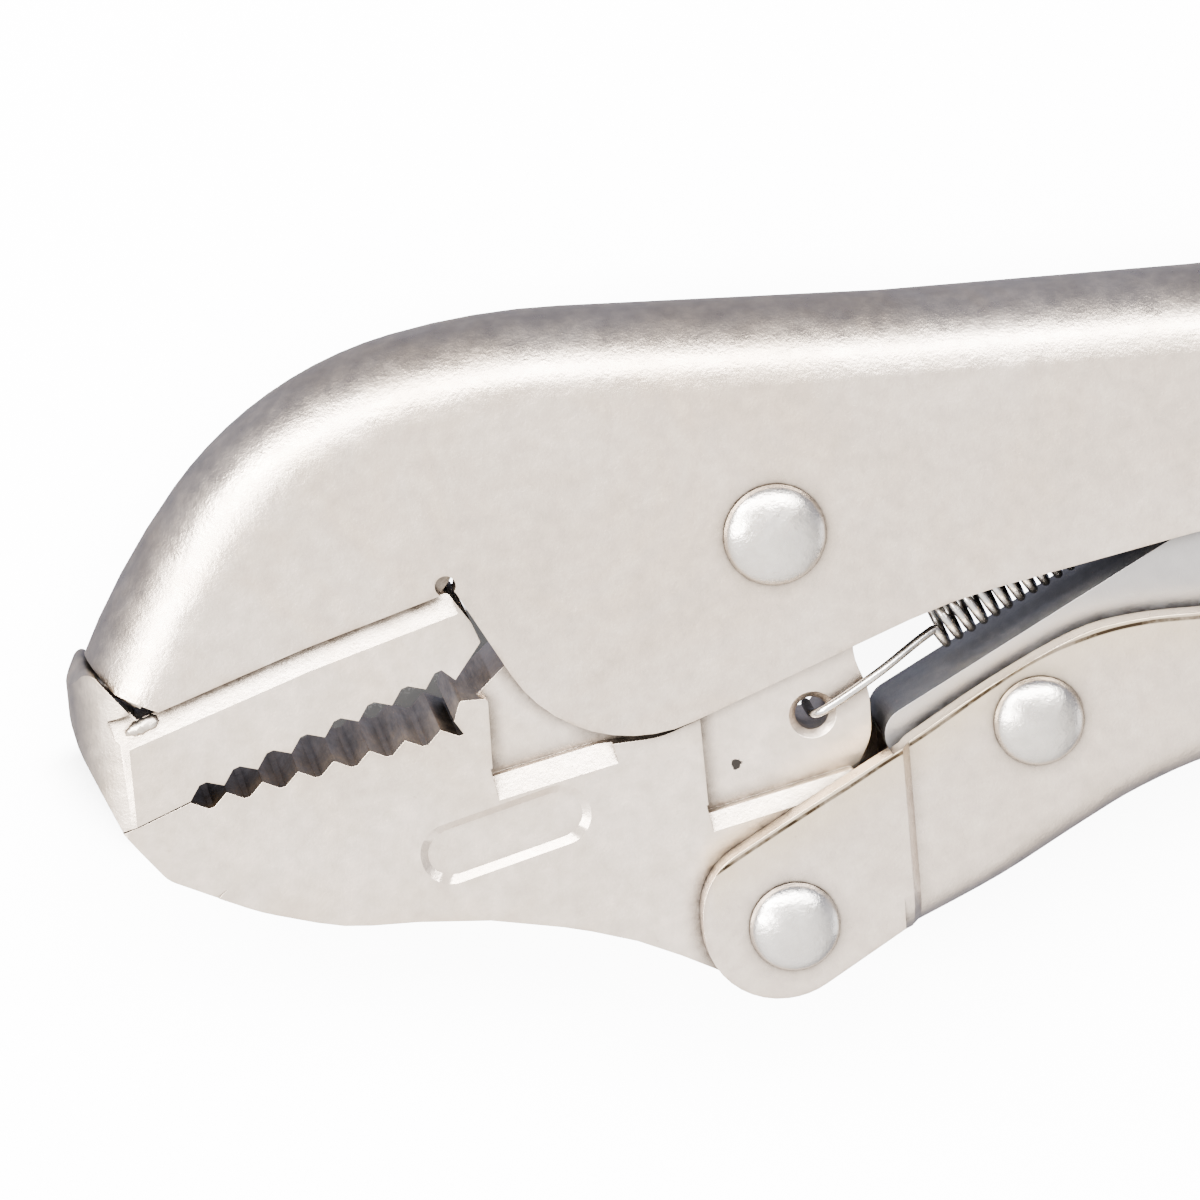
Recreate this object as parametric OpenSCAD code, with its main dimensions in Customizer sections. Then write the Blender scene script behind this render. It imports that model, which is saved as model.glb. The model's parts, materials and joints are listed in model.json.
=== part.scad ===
// Locking pliers, 250 mm class, with straight serrated jaws and a wire cutter
//
// The tool lies on its side: X runs from the nose to the knob, Y from the lower
// handle to the back of the fixed handle, Z is the thickness.
// Every sub-part is drawn about the axis of the jaw pivot rivet, and laid()
// moves it so that the origin is at the centre of the underside of the tool.

/* [Tool] */
// Length from the nose to the end of the knob
tool_length = 250; // [240:1:260]
// Thickness of the jaws where they grip
jaw_thick = 13.6; // [12:0.2:14.4]
// Thickness of the jaw tangs inside the handle
tang_thick = 10; // [9:0.1:10]

/* [Fixed handle] */
// Width across the folded sheet of the fixed handle
fixed_w = 15; // [14.8:0.1:15.4]
// Thickness of that sheet
fixed_sheet = 2.4; // [2:0.1:2.4]
// Length of the round tube that holds the adjusting screw
tube_length = 44; // [40:1:48]

/* [Lower handle] */
// Width across the grip channel of the lower handle
lower_w = 16.6; // [16:0.1:17]
// Width across the two ears that straddle the lower jaw
ears_w = 18.5; // [18.4:0.1:19.4]
// Thickness of the sheet of the lower handle
lower_sheet = 2.3; // [2:0.1:2.3]

/* [Toggle link] */
// Width across the pressed link
link_w = 9.8; // [9:0.1:9.9]
// Thickness of the sheet of the link
link_sheet = 2; // [1.6:0.1:2.2]

/* [Rivets] */
// Diameter of the rivet shanks
rivet_d = 6.3; // [5.5:0.1:6.6]
// Head diameter of the jaw pivot rivet
jaw_head_d = 9.8; // [9:0.1:10.4]
// Head diameter of the two rivets in the lower handle
handle_head_d = 8.7; // [8:0.1:9.4]
// How far a rivet head stands up
head_h = 2.1; // [1.6:0.1:2.4]
// Radial clearance of every rivet, pin and thread in its hole
running_fit = 0.06; // [0.03:0.01:0.1]

/* [Adjusting screw] */
// Outer diameter of the thread
screw_d = 9.4; // [9:0.1:9.6]
// Diameter of the knurled knob
knob_d = 15.2; // [14:0.1:16]
// Length of the knurled knob
knob_length = 20; // [16:1:22]

/* [Return spring] */
// Outside diameter of the coils
spring_d = 6; // [5:0.1:6.2]
// Wire diameter
wire_d = 1; // [0.8:0.1:1.1]
// Number of coils
coils = 20; // [16:1:21]

/* [Teeth] */
// Distance from one tooth to the next
tooth_pitch = 3.5; // [3.4:0.05:3.55]
// Depth of the teeth
tooth_depth = 1.05; // [0.9:0.05:1.2]

/* [Hidden] */
$fn = 72;

// The pivots of the linkage, seen from the side: jaw, handle and link, then the
// release lever's pivot and the hole in the lower jaw that holds the spring
jaw_pivot = [0, 0];
handle_pivot = [-1.5, -38.1];
link_pivot = [23.6, -21.1];
lever_pivot = [86, -19.2];
spring_eye = [2.5, -18.8];

// The limits of the tool at rest
nose_x = -67.4;
top_y = 22.6;
bottom_y = -45.2;
half_thick = ears_w / 2 + head_h;

// The screw's axis is level and ends against the tip of the link
screw_y = 9.6;
screw_tip_x = 74.8;
knob_gap = 0.4;
knob_end_x = nose_x + tool_length;
knob_x = knob_end_x - knob_length;
tube_end_x = knob_x - knob_gap;
tube_x = tube_end_x - tube_length;
tube_d = fixed_w + 0.1;
knob_stub_d = 6;
knob_stub_l = 12;

// The spring runs from the eye to a tab that is lanced out of the back
spring_start = [15.2, -12.5];
spring_end = [51.5, 5.1];
tab_x = 57;
tab_sheet = 2;
tab_w = 5.2;
tab_l = 10.8;
tab_hole_y = 8.3;
tab_hole_d = 2.4;

rivet_hole_d = rivet_d + 2 * running_fit;
lever_rivet_d = 4.5;
lever_head_d = 7;
lever_w = 10.6;
lever_sheet = 2;
teeth = 8;
nose_r = 7.2;
bevel = 2.2;
bevel_slope = 22;
facet = 2.6;
facet_slope = 9;
lip = 1.7;
long = 300;

// ---- Outlines, seen from the side ----

function unit(v) = v / norm(v);
function heading(a) = [cos(a), sin(a)];

// The arc that rounds the corner p = [x, y, radius] between its neighbours a and b
function corner_arc(a, p, b) =
    let (c = [p.x, p.y], u = unit([a.x, a.y] - c), v = unit([b.x, b.y] - c),
        half = acos(u * v) / 2, hub = c + unit(u + v) * p.z / sin(half),
        start = c + u * p.z / tan(half) - hub, turn = 180 - 2 * half,
        way = cross(u, v) < 0 ? 1 : -1, steps = max(2, ceil(turn / 9)))
    [for (i = [0 : steps]) let (t = way * turn * i / steps)
        hub + [start.x * cos(t) - start.y * sin(t), start.x * sin(t) + start.y * cos(t)]];

// A closed outline of corners: [x, y] stays sharp, [x, y, radius] is rounded
function rounded(corners) = let (n = len(corners)) [for (i = [0 : n - 1])
    each (len(corners[i]) < 3 ? [corners[i]]
        : corner_arc(corners[(i + n - 1) % n], corners[i], corners[(i + 1) % n]))];

// A smooth curve through rows of numbers, with so many steps from one to the next
function smooth(rows, steps) = let (n = len(rows)) concat([for (i = [0 : n - 2]) each
    [for (k = [0 : steps - 1])
        let (t = k / steps, a = rows[max(i - 1, 0)], b = rows[i], c = rows[i + 1],
            d = rows[min(i + 2, n - 1)])
        b + 0.5 * t * ((c - a) + t * (2 * a - 5 * b + 4 * c - d + t * (3 * b - a - 3 * c + d)))]],
    [rows[n - 1]]);

// A row of teeth: tips from a point along a line, and a flat valley after each tip,
// above that line where side is 1 and below it where side is -1
function tooth_row(from, angle, side) = [for (i = [0 : teeth - 1]) each [
    from + i * tooth_pitch * heading(angle),
    for (t = side > 0 ? [0.4, 0.6] : [0.42, 0.58])
        from + (i + t) * tooth_pitch * heading(angle) + side * tooth_depth * heading(angle + 90)]];

function reversed(list) = [for (i = [len(list) - 1 : -1 : 0]) list[i]];

upper_tips = [-57.3, -19.25];
upper_slope = 19.3;
lower_tips = [-57.3, -19.37];
lower_slope = 9.6;

// The edge of the fixed handle's side walls, and the ground they are cut from
fixed_edge = [[-69.4, -0.8], [-61.4, -10.6], [-45.4, -5.6, 60], [-30.7, -1.7, 0.4],
    [-20.55, -21.2, 14], [16.3, -8.5, 50], [40, -4.8, 60], [80, -0.24], [long, -0.24],
    [long, 40], [-90, 40]];

fixed_jaw_outline = concat(
    [[-61.5, -10.9], [-65.6, -5.9, 0.8], [-67.7, -8.6, 1.5], [-67.1, -14, 8], [-63.9, -21.65]],
    tooth_row(upper_tips, upper_slope, 1),
    [[-31.3, -10.6], [-28.6, -7.2, 0.3], [-29.3, -5.2, 1], [-31.2, -2.2, 0.5], [-45.4, -5.85, 60]]);

fixed_jaw_tang = [[-60.6, -7, 2], [-56.5, -1, 6], [-46, 9.4, 10], [-33, 13.6, 3], [-30, 12.6, 0.6],
    [-30.5, -1, 2], [-33, -4], [-56, -11]];

lower_jaw_outline = concat(
    [[-63.9, -21.78], [-62.3, -24, 6], [-60.1, -26.9, 3], [-51.7, -31, 20], [-44, -33.5, 20],
        [-30, -34.2, 60], [-16.2, -38.2, 40], [-6, -43.9, 6], [4, -43.4, 6], [7.4, -36, 5],
        [6, -24.2, 0.6], [-8.4, -26.9], [-8.5, -17.3], [-12.4, -18.65, 8], [-18.2, -18.75, 3],
        [-28.6, -20.7], [-28.4, -12.8, 0.4], [-31.1, -12.7, 0.4], [-31.8, -14.6]],
    reversed(tooth_row(lower_tips, lower_slope, -1)));

lower_jaw_tang = [[-30, -24], [-30, -13.4], [-26.4, -10.3, 0.5], [-13, 6, 6], [-5, 11.2, 8],
    [5, 11.2, 8], [11.6, 4, 8], [10, -6, 8], [6.2, -12, 6], [8.1, -17, 6], [8, -21.6, 5],
    [4.6, -27.5], [-12, -31]];

ear_outline = [[-10.2, -32.35, 7], [-0.3, -27.1, 60], [9.2, -22.3], [9.2, -39.77],
    [-0.6, -45.2, 7.5], [-10.2, -45.2, 7.5]];

// Stations of the grip channel: distance along X, underside, upper edge, half its width
lower_stations = [[8.8, -41.3, -22.7, ears_w / 2], [10.2, -40.75, -21.95, ears_w / 2],
    each smooth([[11, -40.45, -21.6, lower_w / 2], [19.3, -37, -17.1, lower_w / 2],
        [27.7, -32.7, -13.4, lower_w / 2], [33.5, -30, -12.4, lower_w / 2],
        [41, -27.7, -12.5, lower_w / 2], [52, -26.3, -13, lower_w / 2],
        [66, -25.9, -13.4, lower_w / 2], [86, -26.3, -13.8, lower_w / 2],
        [112, -27.2, -14.3, lower_w / 2], [132, -28.6, -15.2, lower_w / 2],
        [143, -29.7, -16.8, lower_w / 2], [148, -30.2, -20.2, lower_w / 2]], 4)];

// The link: its tip at the screw, a boss round its pivot, and a toe ahead of that
link_outline = [[9.1, -20.3, 2.6], [70.8, 10.3, 3], [73.9, 5.1, 3], [24.9, -27.5, 6.2],
    [9.5, -24.1, 2.6]];
link_cavity = [[2, -25.6], [64.5, 5], [66.5, 1.5], [60, -40], [2, -40]];

lever_outline = [[46.2, -19, 1.2], [46.8, -16.1, 1.2], [60, -16.4, 20], [78, -16.6, 10],
    [88, -15.2, 10], [120, -11.4, 60], [141, -6.2, 4], [146.4, -7.6, 1.2], [143.6, -9.9, 1.4],
    [121, -15.2, 60], [96, -19.6, 10], [89, -22.9, 3], [82, -22.9, 4], [60, -20.6, 20]];
lever_cavity = [[58, -18.4], [78, -18.7], [88, -17.4], [120, -13.5], [137, -9.3], [137, -40],
    [52, -40]];

// ---- Building blocks ----

module laid() {
    translate([-(nose_x + knob_end_x) / 2, -(top_y + bottom_y) / 2, half_thick]) children();
}

// A plate of the given outline, centred on the middle plane
module plate(corners, thick) {
    linear_extrude(thick, center = true) polygon(rounded(corners));
}

// A through hole across the tool
module cross_hole(at, d) {
    translate([at.x, at.y, 0]) cylinder(h = long, d = d, center = true);
}

// A rod along X, starting at the given place
module rod(x, y, d, length) {
    translate([x, y, 0]) rotate([0, 90, 0]) cylinder(h = length, d = d);
}

// Rings of points joined into one closed skin. The first half of a ring faces its
// second half, so each end is closed by strips between the two.
module skin(rings) {
    n = len(rings[0]);
    m = len(rings);
    polyhedron(points = [for (ring = rings) each ring], faces = concat(
        [for (j = [0 : n / 2 - 2]) [j, j + 1, n - 2 - j, n - 1 - j]],
        [for (i = [0 : m - 2], j = [0 : n - 1]) let (k = (j + 1) % n) each [
            [i * n + j, (i + 1) * n + k, i * n + k], [i * n + j, (i + 1) * n + j, (i + 1) * n + k]]],
        [for (j = [0 : n / 2 - 2]) let (b = (m - 1) * n)
            [b + n - 1 - j, b + n - 2 - j, b + j + 1, b + j]]));
}

// A shallow bevel of the given width and slope on both faces of a plate, along its edge
// from a to b. The material lies on the right-hand side of the way from a to b.
module edge_bevel(a, b, thick, width, slope) {
    over = 1;
    drop = over * tan(slope);
    for (face = [0, 1])
        mirror([0, 0, face]) translate([a.x, a.y, thick / 2])
            rotate([0, 0, atan2(b.y - a.y, b.x - a.x)]) rotate([90, 0, 90])
                linear_extrude(norm(b - a))
                    polygon([[-width - over, drop], [over, -(width + over) * tan(slope)],
                        [over, drop]]);
}

// A domed rivet head with a small flat on its crown, standing on z = 0
module rivet_head(d, h) {
    flat_r = 1.4;
    rim_h = 0.5;
    span = d / 2 - flat_r;
    rise = h - rim_h;
    dome_r = (span ^ 2 + rise ^ 2) / (2 * rise);
    sweep = asin(span / dome_r);
    rotate_extrude() polygon(concat([[0, 0], [d / 2, 0]],
        [for (i = [0 : 8]) let (a = sweep * (1 - i / 8))
            [flat_r + dome_r * sin(a), h - dome_r * (1 - cos(a))]],
        [[0, h]]));
}

// A rivet through the tool: its shank, and a head on each face of what it grips
module rivet(at, d, head_d, h, grip) {
    translate([at.x, at.y, 0]) {
        cylinder(h = grip, d = d, center = true);
        for (side = [0, 1])
            mirror([0, 0, side]) translate([0, 0, grip / 2]) rivet_head(head_d, h);
    }
}

// What the rounded front of both jaws keeps of a plate
module nose_plan() {
    translate([nose_x + nose_r, 0, 0]) rotate([90, 0, 0]) cylinder(h = long, r = nose_r, center = true);
    translate([nose_x + nose_r - 1, -long / 2, -long / 2]) cube(long);
}

// ---- Fixed handle ----

// The stations of the back from the nose to the tube. Each row of arcs holds a length,
// a turn, and at its end the depth of the side walls and how far they are curled in.
function back_point(p, a, length, turn) = p + heading(a + turn / 2)
    * (turn == 0 ? length : length * sin(turn / 2) / (turn / 2 * PI / 180));
function back_walk(p, a, depth, curl, arcs, i = 0) = i == len(arcs) ? [[p, a, depth, curl]]
    : let (arc = arcs[i], steps = ceil(max(1, abs(arc[1]) / 4, (arc[3] - curl) * 8)))
    concat([for (k = [0 : steps - 1]) let (t = k / steps)
        [back_point(p, a, arc[0] * t, arc[1] * t), a + arc[1] * t,
            depth + (arc[2] - depth) * t, curl + (arc[3] - curl) * t]],
        back_walk(back_point(p, a, arc[0], arc[1]), a + arc[1], arc[2], arc[3], arcs, i + 1));

back_stations = back_walk([-66, -6.9], 64.2, 24, 0, [
    [19.3, -14.9, 34, 0], [25.5, -39.3, 36.5, 0], [16.4, -14, 44, 0], [30.6, 0, 34, 0],
    [29.4, 4, 25.1, 0], [14, -2.1, 22.8, 0], [36, 0, 15.6, 0], [10, 0, 15.3, 0.35],
    [12, 2.1, 15, 0.95], [4.8, 0, 15, 1]]);

// One U-shaped line across the channel, at radius r from the middle of its crown
function bow(station, r) = let (crown = 16, wall = 6, seam = 3,
    reach = station[2] - fixed_w / 2, curl = station[3],
    side = [for (k = [1 : wall]) let (a = (90 - seam) * k / wall)
        (1 - curl) * [reach * k / wall, r] + curl * [r * sin(a), r * cos(a)]],
    line = concat([for (p = reversed(side)) [p[0], -p[1]]],
        [for (k = [0 : crown]) let (a = -90 + 180 * k / crown) [-r * cos(a), r * sin(a)]], side))
    [for (p = line) let (at = station[0] + (fixed_w / 2 + p[0]) * heading(station[1] - 90))
        [at.x, at.y, p[1]]];

module fixed_handle() {
    wall_r = fixed_w / 2 - fixed_sheet;
    color("lightgray") laid() difference() {
        union() {
            intersection() {
                skin([for (s = back_stations) concat(bow(s, fixed_w / 2), reversed(bow(s, wall_r)))]);
                plate(fixed_edge, long);
            }
            difference() {
                rod(tube_x, screw_y, tube_d, tube_length);
                translate([tube_x - 1, screw_y - tube_d, -0.4]) cube([tube_length + 2, tube_d, 0.8]);
            }
            translate([tab_x, tab_hole_y - 2.2, -tab_w / 2]) cube([tab_sheet, tab_l, tab_w]);
        }
        rod(tube_x - 1, screw_y, screw_d + 2 * running_fit, tube_length + 2);
        rod(tab_x - 1, tab_hole_y, tab_hole_d, tab_sheet + 2);
        translate([tab_x + tab_sheet, 14.5, -tab_w / 2]) cube([tab_l - 1, 8, tab_w]);
        cross_hole(jaw_pivot, rivet_hole_d);
        cross_hole([-31.5, -1.2], 2);
    }
}

module fixed_jaw() {
    color("gainsboro") laid() union() {
        difference() {
            intersection() {
                plate(fixed_jaw_outline, jaw_thick);
                nose_plan();
            }
            edge_bevel([-64, -11.7], [-45.4, -5.85], jaw_thick, bevel, bevel_slope);
            edge_bevel([-46.5, -6.15], [-31, -2.05], jaw_thick, bevel, bevel_slope);
        }
        plate(fixed_jaw_tang, tang_thick);
    }
}

// A weld bead on each face, at the front end of the seam between jaw and handle
module jaw_weld_beads() {
    bead_r = 1.5;
    color("silver") laid() for (face = [0, 1])
        mirror([0, 0, face]) translate([-60.9, -10.3, jaw_thick / 2 - 0.8])
            rotate_extrude() polygon([[0, 0], [bead_r, 0], [bead_r * 0.92, 0.45],
                [bead_r * 0.65, 0.85], [bead_r * 0.3, 1.05], [0, 1.1]]);
}

module jaw_pivot_rivet() {
    color("whitesmoke") laid() rivet(jaw_pivot, rivet_d, jaw_head_d, head_h, fixed_w);
}

// ---- Lower jaw ----

module lower_jaw() {
    eye_d = 3.2;
    plaque = [-27.9, -26.3];
    color("gainsboro") laid() difference() {
        union() {
            difference() {
                intersection() {
                    plate(lower_jaw_outline, jaw_thick);
                    nose_plan();
                }
                edge_bevel([-8.4, -26.9], [9, -23.5], jaw_thick, lip, bevel_slope);
                edge_bevel([-28.6, -20.7], [-17, -18.5], jaw_thick, bevel, bevel_slope);
                edge_bevel([-56.6, -30], [-64.9, -20.8], jaw_thick, facet, facet_slope);
            }
            plate(lower_jaw_tang, tang_thick);
        }
        cross_hole(jaw_pivot, rivet_hole_d);
        cross_hole(handle_pivot, rivet_hole_d);
        cross_hole(spring_eye, eye_d);
        for (face = [0, 1]) mirror([0, 0, face]) {
            translate([spring_eye.x, spring_eye.y, tang_thick / 2 - 0.7])
                cylinder(h = 0.8, d1 = eye_d, d2 = eye_d + 1.6);
            translate([plaque.x, plaque.y, jaw_thick / 2 - 0.45]) rotate([0, 0, 13])
                linear_extrude(1) polygon(rounded([[-8.4, -3, 2.9], [8.4, -3, 2.9], [8.4, 3, 2.9],
                    [-8.4, 3, 2.9]]));
        }
    }
}

// ---- Lower handle ----

// One ring of the grip channel: a rounded U that is open towards the fixed handle
function grip_line(s, inset) = let (bend = 4.4 - inset, w = s[3] - inset, low = s[1] + inset)
    concat([[s[0], s[2], -w]],
        [for (k = [0 : 5]) let (a = 90 * k / 5)
            [s[0], low + bend * (1 - sin(a)), -w + bend * (1 - cos(a))]],
        [for (k = [0 : 5]) let (a = 90 * k / 5)
            [s[0], low + bend * (1 - cos(a)), w - bend * (1 - sin(a))]],
        [[s[0], s[2], w]]);

module lower_handle() {
    color("lightgray") laid() difference() {
        union() {
            skin([for (s = lower_stations)
                concat(reversed(grip_line(s, 0)), grip_line(s, lower_sheet))]);
            for (face = [0, 1])
                mirror([0, 0, face]) translate([0, 0, ears_w / 2 - lower_sheet])
                    linear_extrude(lower_sheet) polygon(rounded(ear_outline));
        }
        cross_hole(handle_pivot, rivet_hole_d);
        cross_hole(link_pivot, rivet_hole_d);
        cross_hole(lever_pivot, lever_rivet_d + 2 * running_fit);
    }
}

module handle_pivot_rivet() {
    color("whitesmoke") laid() rivet(handle_pivot, rivet_d, handle_head_d, head_h, ears_w);
}

module link_rivet() {
    color("whitesmoke") laid() rivet(link_pivot, rivet_d, handle_head_d, head_h, lower_w);
}

module lever_rivet() {
    color("whitesmoke") laid() rivet(lever_pivot, lever_rivet_d, lever_head_d, 1.4, lower_w);
}

// ---- Inside the handles ----

module toggle_link() {
    color("gray") laid() difference() {
        plate(link_outline, link_w);
        plate(link_cavity, link_w - 2 * link_sheet);
        cross_hole(link_pivot, rivet_hole_d);
    }
}

module release_lever() {
    color("silver") laid() difference() {
        plate(lever_outline, lever_w);
        plate(lever_cavity, lever_w - 2 * lever_sheet);
        cross_hole(lever_pivot, lever_rivet_d + 2 * running_fit);
    }
}

module adjusting_screw() {
    tip_h = 1.2;
    color("silver") laid() {
        translate([screw_tip_x, screw_y, 0]) rotate([0, 90, 0])
            cylinder(h = tip_h, d1 = screw_d - 2 * tip_h, d2 = screw_d);
        rod(screw_tip_x + tip_h, screw_y, screw_d, knob_x - screw_tip_x - tip_h);
        rod(knob_x - 1, screw_y, knob_stub_d, knob_stub_l + 1);
    }
}

module screw_knob() {
    rim = 0.9;
    color("silver") laid() difference() {
        translate([knob_x, screw_y, 0]) rotate([0, 90, 0]) rotate_extrude()
            polygon([[0, 0], [knob_d / 2 - rim, 0], [knob_d / 2, rim],
                [knob_d / 2, knob_length - rim], [knob_d / 2 - rim, knob_length], [0, knob_length]]);
        rod(knob_x - 1, screw_y, knob_stub_d + 2 * running_fit, knob_stub_l + 1.3);
        rod(knob_end_x - 0.8, screw_y, 6, 2);
    }
}

// The wire: a hook through the eye, the coils, and a hook through the tab
module return_spring() {
    sides = 6;
    per_turn = 12;
    coil_r = (spring_d - wire_d) / 2;
    axis = unit(spring_end - spring_start);
    coil = [for (i = [0 : coils * per_turn]) let (t = i / (coils * per_turn),
        a = 90 + 360 * coils * t, across = coil_r * cos(a),
        at = spring_start + t * (spring_end - spring_start) + across * [-axis.y, axis.x])
        [at.x, at.y, coil_r * sin(a)]];
    path = concat([[spring_eye.x, spring_eye.y, 2.5], [spring_eye.x + 0.1, spring_eye.y + 0.1, 4.8],
        [spring_eye.x + 1, spring_eye.y + 0.6, 5.9], [9.6, -15, 5.5]],
        coil,
        [[53.2, 6.4, 0.4], [tab_x - 0.8, tab_hole_y, 0], [tab_x + tab_sheet + 0.8, tab_hole_y, 0],
            [tab_x + tab_sheet + 1.7, tab_hole_y + 0.9, 0],
            [tab_x + tab_sheet + 1.7, tab_hole_y + 2.6, 0]]);
    n = len(path);
    along = [for (i = [0 : n - 1]) unit(path[min(i + 1, n - 1)] - path[max(i - 1, 0)])];
    // Each ring's own direction is the last ring's, turned as little as possible
    outward = [for (i = 0, v = [1, 0, 0]; i < n; i = i + 1,
        v = i < n ? unit(v - (v * along[i]) * along[i]) : v) v];
    color("dimgray") laid() skin([for (i = [0 : n - 1])
        let (u = unit(outward[i] - (outward[i] * along[i]) * along[i]), w = cross(along[i], u))
        [for (k = [0 : sides - 1])
            path[i] + wire_d / 2 * (u * cos(360 * k / sides) + w * sin(360 * k / sides))]]);
}

fixed_handle();
fixed_jaw();
jaw_weld_beads();
jaw_pivot_rivet();
lower_jaw();
lower_handle();
handle_pivot_rivet();
link_rivet();
toggle_link();
release_lever();
lever_rivet();
adjusting_screw();
screw_knob();
return_spring();
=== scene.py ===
import json
import math
import bmesh
import bpy
from mathutils import Matrix, Vector, noise

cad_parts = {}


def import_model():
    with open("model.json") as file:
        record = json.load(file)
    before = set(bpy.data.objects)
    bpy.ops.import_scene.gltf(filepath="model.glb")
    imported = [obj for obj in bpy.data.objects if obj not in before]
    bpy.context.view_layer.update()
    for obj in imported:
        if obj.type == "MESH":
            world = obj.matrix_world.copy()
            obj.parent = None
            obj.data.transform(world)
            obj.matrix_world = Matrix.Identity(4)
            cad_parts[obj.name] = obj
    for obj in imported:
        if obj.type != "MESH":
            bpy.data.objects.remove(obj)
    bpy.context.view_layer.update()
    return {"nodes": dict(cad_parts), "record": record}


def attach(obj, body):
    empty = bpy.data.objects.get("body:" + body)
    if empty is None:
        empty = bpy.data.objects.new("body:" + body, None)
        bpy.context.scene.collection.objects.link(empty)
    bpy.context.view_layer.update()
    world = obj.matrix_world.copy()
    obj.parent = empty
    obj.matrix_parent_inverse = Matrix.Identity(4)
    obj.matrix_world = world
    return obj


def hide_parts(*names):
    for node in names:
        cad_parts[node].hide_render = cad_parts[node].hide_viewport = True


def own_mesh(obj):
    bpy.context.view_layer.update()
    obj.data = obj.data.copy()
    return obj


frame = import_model()
nodes = frame["nodes"]

MM = 0.001
# The tool is drawn in millimetres about the jaw pivot, half way through its thickness. SHIFT
# takes the drawing to the row frame.
SHIFT = Vector((-57.6, 11.3, 11.35))

JAW_PIVOT = (0.0, 0.0)
HANDLE_PIVOT = (-1.5, -38.1)
LINK_PIVOT = (23.6, -21.1)
LEVER_PIVOT = (86.0, -19.2)
# Widths across the tool, over the sheets that the rivets hold
CHANNEL_W = 15.0
EAR_W = 18.5
GRIP_W = 16.6
# The closed jaws fall by this angle towards the nose, and this is the middle of their teeth
JAW_SLOPE = 14.4
TEETH_X = -43.5
SCREW_Y = 9.6
SCREW_TIP_X = 74.8
SCREW_R = 4.7
PITCH = 1.5
KNOB_X = 162.6
KNOB_L = 20.0
KNOB_R = 7.6
# Radius at which a turned surface closes on its axis
TINY = 0.02


def at(x, y, z=0.0):
    """A point of the drawing, in the row frame."""
    return (Vector((x, y, z)) + SHIFT) * MM


# ---- Materials ----

class Nodes:
    """A material's node tree, with short calls to add to it. Distances in it are in metres."""

    def __init__(self, name):
        self.mat = bpy.data.materials.new(name)
        self.mat.use_nodes = True
        self.tree = self.mat.node_tree
        self.bsdf = self.tree.nodes["Principled BSDF"]
        self.where = self.add("ShaderNodeTexCoord").outputs["Object"]

    def add(self, kind, **values):
        node = self.tree.nodes.new(kind)
        for key, value in values.items():
            setattr(node, key, value)
        return node

    def link(self, a, b):
        self.tree.links.new(a, b)

    def mapping(self, scale=(1, 1, 1), turn=(0, 0, 0), vector=None):
        node = self.add("ShaderNodeMapping")
        node.inputs["Scale"].default_value = scale
        node.inputs["Rotation"].default_value = turn
        self.link(vector or self.where, node.inputs["Vector"])
        return node.outputs["Vector"]

    def noise(self, scale, detail=3.0, rough=0.55, distort=0.0, vector=None):
        """A noise pattern with scale cells to the metre."""
        node = self.add("ShaderNodeTexNoise")
        node.inputs["Scale"].default_value = scale
        node.inputs["Detail"].default_value = detail
        node.inputs["Roughness"].default_value = rough
        node.inputs["Distortion"].default_value = distort
        self.link(vector or self.where, node.inputs["Vector"])
        return node.outputs["Fac"]

    def span(self, value, low, high, out_low=0.0, out_high=1.0):
        """Takes low..high to out_low..out_high, and holds the ends beyond them."""
        node = self.add("ShaderNodeMapRange")
        node.inputs["From Min"].default_value = low
        node.inputs["From Max"].default_value = high
        node.inputs["To Min"].default_value = out_low
        node.inputs["To Max"].default_value = out_high
        self.link(value, node.inputs["Value"])
        return node.outputs["Result"]

    def math(self, kind, a, b=0.0):
        node = self.add("ShaderNodeMath", operation=kind)
        for i, v in enumerate((a, b)):
            if isinstance(v, (int, float)):
                node.inputs[i].default_value = v
            else:
                self.link(v, node.inputs[i])
        return node.outputs[0]

    def product(self, value, *others):
        for other in others:
            value = self.math("MULTIPLY", value, other)
        return value

    def mix(self, fac, a, b, kind="MIX"):
        node = self.add("ShaderNodeMix", data_type="RGBA", blend_type=kind)
        for socket, v in ((node.inputs["Factor"], fac), (node.inputs[6], a), (node.inputs[7], b)):
            if isinstance(v, (int, float)):
                socket.default_value = v
            elif isinstance(v, (tuple, list)):
                socket.default_value = (*v[:3], 1.0)
            else:
                self.link(v, socket)
        return node.outputs[2]

    def tinted(self, colour, value):
        """The colour times a grey value."""
        grey = self.add("ShaderNodeCombineColor")
        for socket in grey.inputs:
            self.link(value, socket)
        return self.mix(1.0, colour, grey.outputs[0], "MULTIPLY")

    def split(self, vector):
        node = self.add("ShaderNodeSeparateXYZ")
        self.link(vector, node.inputs[0])
        return node.outputs

    def facing_z(self):
        """How squarely the surface faces up or down, from 0 to 1."""
        normal = self.add("ShaderNodeNewGeometry").outputs["True Normal"]
        return self.math("ABSOLUTE", self.split(normal)["Z"])

    def occlusion(self, distance, samples, inside=False):
        """How open the surface is, or how thick the metal is behind it, from 0 to 1."""
        node = self.add("ShaderNodeAmbientOcclusion", samples=samples, inside=inside)
        node.inputs["Distance"].default_value = distance
        return node.outputs["AO"]

    def bump(self, height, strength, distance, normal=None):
        node = self.add("ShaderNodeBump")
        node.inputs["Strength"].default_value = strength
        node.inputs["Distance"].default_value = distance
        self.link(height, node.inputs["Height"])
        if normal is not None:
            self.link(normal, node.inputs["Normal"])
        return node.outputs["Normal"]


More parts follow.
